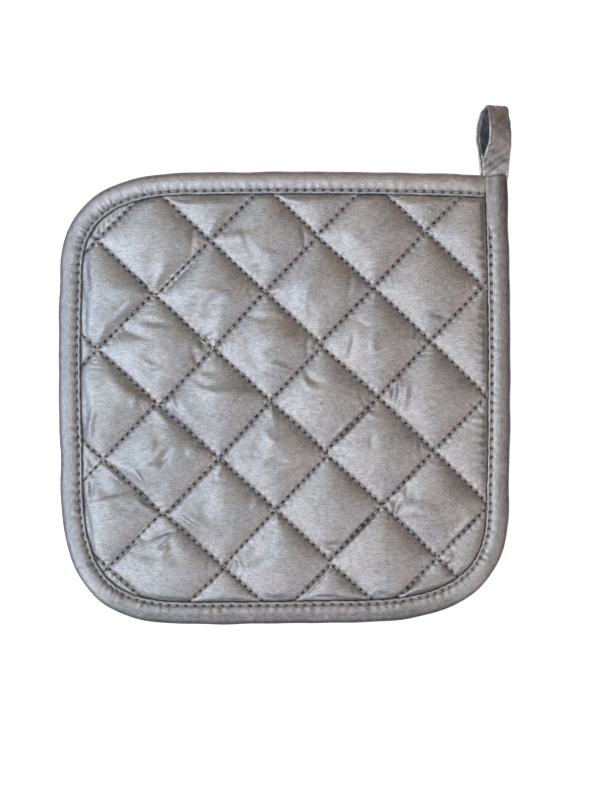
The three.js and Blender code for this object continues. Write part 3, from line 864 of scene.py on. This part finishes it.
def make_loop():
    course = through(LOOP_COURSE, LOOP_STEPS)
    middle, turn, width = course[:, :3], np.radians(course[:, 3]), course[:, 4]
    step, across, inward = band_frame(middle, turn)
    along = np.cumsum(step)[:, None]
    share = np.sin(np.linspace(-np.pi / 2, np.pi / 2, LOOP_ACROSS))[None, :]
    line_at, line_half, line_depth = FOLD_LINE
    thick = LOOP_HALF * (1 - np.abs(share) ** LOOP_EDGE) ** 0.5
    thick = thick - line_depth * np.exp(-(((share - line_at) / line_half) ** 2))
    ripple = sum(height * wander(along + slant * share, wave) for slant, wave, height in LOOP_RIPPLES)
    bowed = LOOP_BOW * (1 - share**2) * np.ones_like(along)
    sideways = share * width[:, None] / 2
    offsets = np.hstack((-thick + ripple - bowed, (thick + ripple - bowed)[:, ::-1]))
    sideways = np.hstack((sideways, sideways[:, ::-1]))
    sections = middle[:, None] + across[:, None] * sideways[..., None]
    sections = sections + inward[:, None] * offsets[..., None]
    inside = np.concatenate((np.zeros(LOOP_ACROSS), np.full(LOOP_ACROSS, INNER_SIDE)))
    uv = np.stack((np.broadcast_to(along, sideways.shape), sideways + inside), axis=-1)
    piece = swept("loop_band", sections, uv)
    length = float(along[-1, 0])
    print("loop", len(piece.data.polygons) * 2, "triangles,", round(length, 1), "mm long")
    return piece, length


loop_band, loop_length = make_loop()

# %% [markdown]
# ## Stitches
#
# A lockstitch shows as a row of short threads that dip into the cloth at both ends. They repeat many
# hundreds of times along known lines, which is work for Geometry Nodes: a line with one point for each
# stitch goes in, and the tree puts a small tapered thread on every point, turned along the line and
# varied a little. Realize Instances makes them real, because instances don't survive an export.

# %% A helper for node trees
class Wire:
    """A node's output that arithmetic works on. Each sum, product or power adds its Math node."""

    def __init__(self, tree, socket=None):
        self.tree = tree
        self.socket = socket

    def node(self, kind, settings=None, values=None, output=0):
        """Any other node: its type, its own settings, and the values or wires of its inputs."""
        made = self.tree.nodes.new(kind)
        for name, value in (settings or {}).items():
            if name == "stops":
                ramp = made.color_ramp.elements
                while len(ramp) < len(value):
                    ramp.new(0.5)
                for element, (place, colour) in zip(ramp, value):
                    element.position, element.color = place, (*colour, 1)
            else:
                setattr(made, name, value)
        for name, value in (values or {}).items():
            if isinstance(value, Wire):
                self.tree.links.new(value.socket, made.inputs[name])
            else:
                made.inputs[name].default_value = value
        return Wire(self.tree, made.outputs[output]) if len(made.outputs) else None

    def maths(self, operation, *others):
        return self.node("ShaderNodeMath", {"operation": operation}, dict(enumerate((self, *others))))

    def parts(self, axes):
        """The numbers of a vector along some of its axes."""
        values = {"Vector": self}
        return [self.node("ShaderNodeSeparateXYZ", values=values, output=axis) for axis in axes]

    def __add__(self, other):
        return self.maths("ADD", other)

    __radd__ = __add__

    def __sub__(self, other):
        return self.maths("SUBTRACT", other)

    def __rsub__(self, other):
        return (self * -1) + other

    def __mul__(self, other):
        return self.maths("MULTIPLY", other)

    __rmul__ = __mul__

    def __truediv__(self, other):
        return self.maths("DIVIDE", other)

    def __pow__(self, other):
        return self.maths("POWER", other)

    def fade(self, start, end):
        """1 up to start, falling smoothly to 0 at end."""
        values = {"Value": self, "From Min": start, "From Max": end, "To Min": 1.0, "To Max": 0.0}
        return self.node("ShaderNodeMapRange", {"interpolation_type": "SMOOTHSTEP"}, values)


# %% The tree that sews
def sewing_tree():
    tree = bpy.data.node_groups.new("Sewn line", "GeometryNodeTree")
    interface = tree.interface
    interface.new_socket("Line", in_out="INPUT", socket_type="NodeSocketGeometry")
    for name, default in (("Stitch length", 2.6 * MM), ("Thread width", 0.5 * MM), ("Unevenness", 0.12)):
        interface.new_socket(name, in_out="INPUT", socket_type="NodeSocketFloat").default_value = default
    interface.new_socket("Thread", in_out="INPUT", socket_type="NodeSocketMaterial")
    interface.new_socket("Stitches", in_out="OUTPUT", socket_type="NodeSocketGeometry")
    start = tree.nodes.new("NodeGroupInput")
    line, length, width, uneven, thread = (Wire(tree, start.outputs[k]) for k in range(5))

    bar = line.node(
        "GeometryNodeCurvePrimitiveLine",
        values={
            "Start": line.node("ShaderNodeCombineXYZ", values={"X": length / -2}),
            "End": line.node("ShaderNodeCombineXYZ", values={"X": length / 2}),
        },
    )
    bar = line.node("GeometryNodeResampleCurve", values={"Curve": bar, "Count": 7})
    share = line.node("GeometryNodeSplineParameter", output="Factor")
    belly = (1 - (share * 2 - 1) ** 2) ** 0.5 * 0.85 + 0.15
    ring = line.node("GeometryNodeCurvePrimitiveCircle", values={"Resolution": 6, "Radius": width / 2})
    shape = {"Curve": bar, "Profile Curve": ring, "Scale": belly, "Fill Caps": True}
    stitch = line.node("GeometryNodeCurveToMesh", values=shape)

    kind, number = "FunctionNodeRandomValue", {"data_type": "FLOAT"}
    stretch = line.node(kind, number, {2: 1 - uneven, 3: 1 + uneven, "Seed": 4}, output=1)
    sway = line.node(kind, number, {2: uneven * -1, 3: uneven, "Seed": 9}, output=1)
    veer = line.node("ShaderNodeCombineXYZ", values={"Z": sway})
    veer = line.node("FunctionNodeEulerToRotation", values={"Euler": veer})
    way = line.node("GeometryNodeInputTangent")
    axes = {"axis": "X", "pivot_axis": "Z"}
    turn = line.node("FunctionNodeAlignRotationToVector", axes, {"Vector": way})
    turn = line.node("FunctionNodeRotateRotation", values={"Rotation": turn, "Rotate By": veer})
    scale = line.node("ShaderNodeCombineXYZ", values={"X": stretch, "Y": 1.0, "Z": 0.8})

    curve = line.node("GeometryNodeMeshToCurve", values={"Mesh": line})
    places = {"Points": curve, "Instance": stitch, "Rotation": turn, "Scale": scale}
    sewn = line.node("GeometryNodeInstanceOnPoints", values=places)
    sewn = line.node("GeometryNodeRealizeInstances", values={"Geometry": sewn})
    sewn = line.node("GeometryNodeSetShadeSmooth", values={"Geometry": sewn})
    sewn = line.node("GeometryNodeSetMaterial", values={"Geometry": sewn, "Material": thread})
    line.node("NodeGroupOutput", values={"Stitches": sewn})
    return tree


sewing = sewing_tree()
print("sewing tree", len(sewing.nodes), "nodes")


# %% [markdown]
# ## Finishes
#
# The cloth is cotton with a thin silver coating. It shines broadly, like brushed metal, yet its threads
# and the uneven coating break the shine into fine speckles. One recipe makes it, with a function for
# what is particular to a piece, such as the painted shade in the needle holes along the quilting. The
# colour also has painted light in it: darker and warmer towards the right, away from the cool window.
# Patterns read the piece's own coordinates in metres, or the map called cloth, which holds places
# along and across the sewing.

# %% Coated cotton
SILVER_LIGHT = (0.80, 0.805, 0.83)
SILVER_DEEP = (0.22, 0.215, 0.22)
# painted light: the tint is cool towards the left, by the window, and warm towards the right; random tint
# patches use the same two colours
COOL_TINT_AND_PAINTED_LIGHT = (0.965, 0.985, 1.015)
WARM_TINT_AND_PAINTED_LIGHT = (1.045, 0.975, 0.94)
# painted shade: the colour of the needle holes and of the dark lines along the sewing
HOLE_SHADE = (0.035, 0.034, 0.038)
WEAVE = 0.42 * MM  # from one thread of the cloth to the next
METALLIC = 0.85
ROUGH = 0.31
TONE = 0.47  # between deep and light silver, at the middle
# painted shade and light: the cloth is painted darker and warmer towards the right, away from the window
PAINTED_SHADE_TO_RIGHT = -0.25  # and its change for each metre to the right
TINT = 0.6  # between cool and warm, and its change to the right
PAINTED_LIGHT_TINT_TO_RIGHT = 5.2
# the binding's stretches painted darker or lighter for how light falls on them: from where to where, in
# metres, each of them begins or ends
BOTTOM = (-0.110, -0.096)
TOP = (0.060, 0.074)
HIGH = (0.045, 0.075)
LEFT = (-0.094, -0.086)
RIGHT = (0.084, 0.094)


def new_material(name):
    material = bpy.data.materials.new(name)
    material.use_nodes = True
    material.node_tree.nodes.clear()
    return material, Wire(material.node_tree)


def lying_flat(wire):
    """The cloth's own directions are those of the whole piece."""
    return wire.node("ShaderNodeTexCoord", output="Object")


def noise(wire, place, size, detail=2.0):
    """Uneven values around 0.5, whose patches are about this many millimetres across."""
    values = {"Vector": place, "Scale": 1 / (size * MM), "Detail": detail, "Roughness": 0.6}
    return wire.node("ShaderNodeTexNoise", values=values)


def vector_maths(wire, operation, values, output="Vector"):
    return wire.node("ShaderNodeVectorMath", {"operation": operation}, values, output)


def sewing_map(wire, name="cloth"):
    return wire.node("ShaderNodeUVMap", {"uv_map": name})


def along_strip(wire):
    """The cloth's threads follow the strip round its bends."""
    return vector_maths(wire, "SCALE", {0: sewing_map(wire), "Scale": MM})


def mixed(share, first, second, kind="MIX"):
    """One colour from two. A plain colour is given as three numbers."""
    wire = share if isinstance(share, Wire) else first
    values = {0: share, 6: first, 7: second}
    values = {k: (*value, 1) if isinstance(value, tuple) else value for k, value in values.items()}
    return wire.node("ShaderNodeMix", {"data_type": "RGBA", "blend_type": kind}, values, 2)


def finish(wire, look):
    shader = wire.node("ShaderNodeBsdfPrincipled", values=look)
    wire.node("ShaderNodeOutputMaterial", values={"Surface": shader})


# %% The coated cotton's recipe
def coated_cotton(name, marks, lay, grain, dark=HOLE_SHADE):
    material, wire = new_material(name)
    place = lay(wire)
    over = [(along * (2 * math.pi / WEAVE)).maths("SINE") for along in place.parts("XY")]
    over = over[0] * over[1]
    streaky = vector_maths(wire, "MULTIPLY", {0: place, 1: (0.3, 1.5, 1.0)})
    speckle = noise(wire, place, 0.7, 1.0).maths("MAXIMUM", 0.4)
    mottle = noise(wire, place, 2.2, 2.0)
    streaks = noise(wire, streaky, 0.9, 2.0)
    patches = noise(wire, place, 9.0, 3.0)
    # painted light and shade: darker and warmer towards the right, away from the window
    painted_light_x = lying_flat(wire).parts("X")[0]
    painted_shade_mask, dents, painted_light_and_shade = marks(wire)
    tone = (speckle - 0.5) * grain + (mottle - 0.5) * 0.5 + (streaks - 0.5) * 0.7
    tone = tone + (patches - 0.5) * 0.35 + over * 0.04 + painted_light_x * PAINTED_SHADE_TO_RIGHT + TONE - painted_light_and_shade
    tint_and_painted_light = (noise(wire, place, 14.0, 1.0) - 0.5) * 1.5 + painted_light_x * PAINTED_LIGHT_TINT_TO_RIGHT + TINT
    base = mixed(tone, SILVER_DEEP, SILVER_LIGHT)
    base = mixed(1.0, base, mixed(tint_and_painted_light, COOL_TINT_AND_PAINTED_LIGHT, WARM_TINT_AND_PAINTED_LIGHT), "MULTIPLY")
    # painted shade: the needle holes, the dark lines and the loop's inner side are mixed towards a dark
    # colour
    base = mixed(painted_shade_mask, base, dark)
    rough = (speckle - 0.5) * grain * 0.22 + (patches - 0.5) * 0.14 + ROUGH + painted_light_and_shade * 0.3
    relief = speckle * grain * 0.06 + streaks * 0.10 + over * 0.02 - dents
    bump = wire.node("ShaderNodeBump", values={"Height": relief, "Distance": MM, "Strength": 1.0})
    finish(wire, {"Base Color": base, "Roughness": rough, "Normal": bump, "Metallic": METALLIC})
    return material


# %% What is particular to each piece
def quilting_marks(wire):
    """Painted shade at each needle's puncture, in dark lines along both sets of quilting lines and beside
    the binding's lip, and on the cloth along the lines; dents at the punctures.
    """
    falling, rising = sewing_map(wire).parts("XY")
    off_falling = falling.maths("PINGPONG", 0.5) * DIAMOND
    off_rising = rising.maths("PINGPONG", 0.5) * DIAMOND
    uneven = noise(wire, lying_flat(wire), 2.5, 1.0) - 0.5
    painted_shade_mask, dents, painted_light_and_shade = [], [], []
    for off, along, wide in ((off_falling, rising, 0.7), (off_rising, falling, 0.62)):
        step = (along * STITCHES + uneven * 0.4).maths("PINGPONG", 0.5) * (DIAMOND / STITCHES)
        reach = (off * off * 1.9 + step * step) ** 0.5 + uneven * 0.5
        # painted shade: a dark line along each quilting line, beside the thread
        shade = off.fade(wide - 0.32, wide) * 0.38
        painted_shade_mask.append(reach.fade(0.14, 0.55).maths("MAXIMUM", shade))
        dents.append(reach.fade(0.2, 1.0) * 0.3)
        # painted shade: the cloth is darker along each quilting line
        painted_light_and_shade.append(off.fade(0.2, 0.7) * 0.2)
    painted_shade_mask, dents, painted_light_and_shade = (first.maths("MAXIMUM", second) for first, second in (painted_shade_mask, dents, painted_light_and_shade))
    # painted shadow: a dark line on the pad along the binding's lip
    beside = sewing_map(wire, "edge").parts("X")[0] - 0.15 + uneven * 0.5
    lip_shadow_line = beside.maths("ABSOLUTE").fade(0.1, 0.42) * 0.65
    return painted_shade_mask.maths("MAXIMUM", lip_shadow_line), dents, painted_light_and_shade


def binding_marks(wire):
    """Painted shade at each needle's puncture along the binding's groove, at every stitch, and along the
    groove; the strip's parts painted darker or lighter for how light falls on them.
    """
    along, off = sewing_map(wire).parts("XY")
    uneven = noise(wire, lying_flat(wire), 2.5, 1.0) - 0.5
    step = (along / STRIP_PITCH + uneven * 0.3).maths("PINGPONG", 0.5) * STRIP_PITCH
    unsewn = along.fade(LAST_STITCH, LAST_STITCH - SEWING_ENDS) * 5
    reach = (off * off + step * step) ** 0.5 + uneven * 0.6 + unsewn
    line = off.maths("ABSOLUTE") + unsewn
    # painted shade at the needle holes and along the groove
    dark = (reach + line * 0.05).fade(0.1, 0.5).maths("MAXIMUM", line.fade(0.1, 0.6) * 0.45)
    # painted shade and light: the outer part darker at the bottom, left and right, the upper end of the
    # right side darker, the groove darker, and a band beside the groove lighter at the top and darker at
    # the bottom and right
    x, y = lying_flat(wire).parts("XY")
    bottom, left = y.fade(*BOTTOM), x.fade(*LEFT)
    right, top = 1 - x.fade(*RIGHT), 1 - y.fade(*TOP)
    high = (1 - y.fade(*HIGH)) * right
    painted_light_and_shade = off.fade(-5.0, -2.4) * (bottom * 0.33 + right * 0.12 + left * 0.16)
    painted_light_and_shade = painted_light_and_shade + high * 0.3 + line.fade(0.3, 0.9) * 0.2
    band = (off + 3.2).maths("ABSOLUTE").fade(0.5, 2.0)
    return dark, reach.fade(0.2, 1.1) * 0.3, painted_light_and_shade + band * (bottom * 0.1 + right * 0.08 - top * 0.16)


def loop_marks(wire):
    """The band has no stitches that show: painted shade on its inner side, painted light near its front
    root, a little darker on its outer face and lighter at its edges.
    """
    along, off = sewing_map(wire).parts("XY")
    # painted shade: the loop's inner side, which lies in shadow
    inside = (1 - off.fade(INNER_SIDE - 3.8, INNER_SIDE - 2.8)) * 0.85
    # painted light near the front root; the outer face a little darker and the edges lighter
    lighter_edges = 1 - off.maths("ABSOLUTE").fade(4.2, 5.2)
    return inside, 0.0, off.fade(5, 20) * 0.16 - along.fade(7, 11) * 0.22 - lighter_edges * 0.25


# %% Cloths on their pieces
# painted shade on the loop's inner side
LOOP_INSIDE_SHADE = (0.13, 0.17, 0.23)
quilted_silver = coated_cotton("quilted silver cotton", quilting_marks, lying_flat, 0.85)
strip_silver = coated_cotton("silver binding strip", binding_marks, along_strip, 0.6)
loop_silver = coated_cotton("silver loop strip", loop_marks, along_strip, 0.7, LOOP_INSIDE_SHADE)
for piece, cloth in ((pad, quilted_silver), (edge_binding, strip_silver), (loop_band, loop_silver)):
    piece.data.materials.append(cloth)
print("cloths finished", [material.name for material in bpy.data.materials])

# %% [markdown]
# ### Thread
#
# The thread is plain polyester, duller than the cloth, with a little fuzz. It looks dark in its row
# because the needle holes between the stitches are painted in shade.

# %% Thread
THREAD_DARK = (0.36, 0.36, 0.37)
THREAD_LIGHT = (0.82, 0.815, 0.83)
FUZZ = 0.25  # size of the thread's fuzz


def grey_thread():
    material, wire = new_material("grey thread")
    fuzz = noise(wire, lying_flat(wire), FUZZ)
    bump = wire.node("ShaderNodeBump", values={"Height": fuzz * 0.1, "Distance": MM})
    base = mixed(fuzz, THREAD_DARK, THREAD_LIGHT)
    finish(wire, {"Base Color": base, "Roughness": 0.62, "Normal": bump})
    return material


thread = grey_thread()
print("thread", thread.name)

# %% [markdown]
# ### Sewing the lines
#
# A line is a chain of points, one in the middle of each stitch, in step with the holes in the cloth.
# The tree is run once for each set of quilting lines and once for the binding. Each line is sewn on the
# front and on the back.

# %% Sewn lines
UNEVEN_STITCHES = 0.12  # share by which their length varies, and the angle in radians
THREAD_FRONT = MID_HEIGHT + SEAM_HALF - PINCH + 0.18  # heights of the quilting's threads
THREAD_BACK = MID_HEIGHT - SEAM_HALF + PINCH - 0.12
THREAD_SHOWN = 0.6  # how far from the binding the quilting's threads begin
STRIP_THREAD = 2.28 + CLOTH / 2 + 0.02  # the binding's threads, from the middle plane


def sew(name, lines, length, width):
    points = np.vstack(lines)
    ends = np.cumsum([len(line) for line in lines])
    links = [(k, k + 1) for k in range(len(points) - 1) if k + 1 not in ends]
    mesh = bpy.data.meshes.new(name)
    mesh.from_pydata((points * MM).tolist(), links, [])
    guide = bpy.data.objects.new(name + "_line", mesh)
    scene.collection.objects.link(guide)
    modifier = guide.modifiers.new("Sewing", "NODES")
    modifier.node_group = sewing
    sizes = {"Stitch length": length * MM, "Thread width": width * MM}
    settings = {**sizes, "Unevenness": UNEVEN_STITCHES, "Thread": thread}
    for item in sewing.interface.items_tree:
        if item.name in settings:
            modifier[item.identifier] = settings[item.name]
    result = guide.evaluated_get(bpy.context.evaluated_depsgraph_get())
    sewn = bpy.data.objects.new(name, bpy.data.meshes.new_from_object(result))
    scene.collection.objects.link(sewn)
    bpy.data.objects.remove(guide)
    triangles = sum(len(face.vertices) - 2 for face in sewn.data.polygons)
    print(name, len(points), "stitches,", triangles, "triangles")
    return sewn


def quilting_lines(rising):
    middles = (np.arange(int((LINES - 1) * STITCHES)) + 0.5) / STITCHES
    lines = []
    for line in range(LINES):
        places = (np.full_like(middles, line), middles)
        x, y = crossing(*(places[::-1] if rising else places))
        shown = depth_inside(x, y)[1] > THREAD_SHOWN
        breaks = np.flatnonzero(np.diff(np.concatenate(([0], shown.astype(int), [0]))))
        for first, end in zip(breaks[::2], breaks[1::2]):
            if end - first > 1:
                for height in (THREAD_FRONT, THREAD_BACK):
                    lines.append(np.column_stack((x, y, np.full_like(x, height)))[first:end])
    return lines


def binding_lines():
    first = math.ceil(STRIP_START / STRIP_PITCH)
    last = int(LAST_STITCH / STRIP_PITCH)
    places = np.arange(first, last) * STRIP_PITCH + STRIP_PITCH / 2
    groove = (strip_width(places) - GROOVE_IN)[:, None]
    flat = on_path(places, path_xy) + on_path(places, path_in) * groove
    heights = [MID_HEIGHT + side * STRIP_THREAD for side in (1, -1)]
    return [np.column_stack((flat, np.full(len(flat), height))) for height in heights]


falling_thread = sew("falling_quilting_thread", quilting_lines(False), 2.1, 0.66)
rising_thread = sew("rising_quilting_thread", quilting_lines(True), 1.9, 0.56)
binding_thread = sew("binding_thread", binding_lines(), 3.0, 0.42)

# %% [markdown]
# ## Table and light
#
# A white table and one soft, cool window to the left of it. The window's light draws the puffs and the
# creases, but silver cloth shows most of all what it reflects, and that is the room, which comes after.
# The table is left out of what the cloth reflects, because its own glow would flatten the shading.

# %% Table
def pale_table():
    material, wire = new_material("white table")
    glow = wire.node("ShaderNodeEmission", values={"Color": (1, 1, 1, 1), "Strength": 0.7})
    plain = wire.node("ShaderNodeBsdfDiffuse", values={"Color": (0.9, 0.9, 0.9, 1)})
    both = wire.node("ShaderNodeAddShader", values={0: glow, 1: plain})
    wire.node("ShaderNodeOutputMaterial", values={"Surface": both})
    return material


HALF_TABLE = 20000
TABLE_TOP = -0.1
corners = [(x * HALF_TABLE, y * HALF_TABLE, TABLE_TOP) for x, y in ((-1, -1), (1, -1), (1, 1), (-1, 1))]
table = make_mesh("table", corners, [(0, 1, 2, 3)], smooth=False)
table.data.materials.append(pale_table())
table.visible_diffuse = False
table.visible_glossy = False
print("table", 2 * HALF_TABLE * MM, "m wide")

# %% Window light
WINDOW_PLACE = (-0.9, 0.1, 0.9)  # metres
WINDOW_SIDE = 0.7  # metres
WINDOW_COLOUR = (0.47, 0.80, 1.0)
WINDOW_WATTS = 2.8

light = bpy.data.lights.new("window", "AREA")
light.size = WINDOW_SIDE
light.color = WINDOW_COLOUR
light.energy = WINDOW_WATTS
window = bpy.data.objects.new("window", light)
window.location = WINDOW_PLACE
window.rotation_euler = window.location.to_track_quat("Z", "Y").to_euler()
scene.collection.objects.link(window)
print("window", window.name, light.energy, "W")

# %% [markdown]
# ### The room
#
# A room lights an object from all round, more from some sides than from others. Here it is a sum of
# broad soft patches of light. Each has a direction, a tint and a width, and fades smoothly.

# %% Room light
ROOM = (  # direction x, y, z, the patch's sharpness and its colour
    ((0.0, 0.0, 1.0), 9, (0.33, 0.25, 0.12)),
    ((-0.62, -0.53, 0.57), 12, (1.78, 1.62, 1.36)),
    ((0.62, -0.53, 0.57), 15, (1.42, 1.27, 1.16)),
    ((-0.23, -0.41, 0.88), 9, (0.58, 0.82, 1.14)),
    ((-0.23, 0.41, 0.88), 9, (0.82, 0.88, 0.90)),
    ((-0.91, 0.38, 0.14), 9, (0.52, 0.36, 0.33)),
    ((0.38, 0.91, 0.14), 9, (0.52, 0.34, 0.18)),
    ((0.91, -0.38, 0.14), 9, (0.10, 0.08, 0.12)),
    ((-0.91, -0.38, 0.14), 9, (0.04, 0.20, 0.46)),
    ((-0.47, 0.0, 0.88), 9, (0.26, 0.10, 0.02)),
    ((0.0, 0.0, -1.0), 2.5, (1.15, 1.14, 1.18)),
)


def room_light():
    world = bpy.data.worlds.new("room")
    world.use_nodes = True
    world.node_tree.nodes.clear()
    wire = Wire(world.node_tree)
    way = wire.node("ShaderNodeTexCoord", output="Generated")
    total = None
    for toward, sharpness, colour in ROOM:
        facing = vector_maths(way, "DOT_PRODUCT", {0: way, 1: toward}, "Value")
        patch = ((facing - 1) * sharpness).maths("EXPONENT")
        patch = vector_maths(way, "SCALE", {0: colour, "Scale": patch})
        total = patch if total is None else vector_maths(way, "ADD", {0: total, 1: patch})
    sky = wire.node("ShaderNodeBackground", values={"Color": total, "Strength": 1.0})
    wire.node("ShaderNodeOutputWorld", values={"Surface": sky})
    return world


scene.world = room_light()
scene.view_settings.view_transform = "Standard"
print("room", len(ROOM), "patches of light")

# %% [markdown]
# ## Joining the frame
#
# Every piece rides on the one body there is. The pad, the strip and the loop stand for their solids in
# the imported model, which stay for collision.

# %% Frame
for piece, node, slot in (
    (pad, "quilted_pad", "quilted_cloth"),
    (edge_binding, "binding", "binding_cloth"),
    (loop_band, "hanging_loop", "binding_cloth"),
):
    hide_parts(node)
    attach(piece, "root")
for piece in (falling_thread, rising_thread, binding_thread):
    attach(piece, "root")
print("strip cut", round(strip_cut, 1), "mm wide, loop", round(loop_length, 1), "mm long")
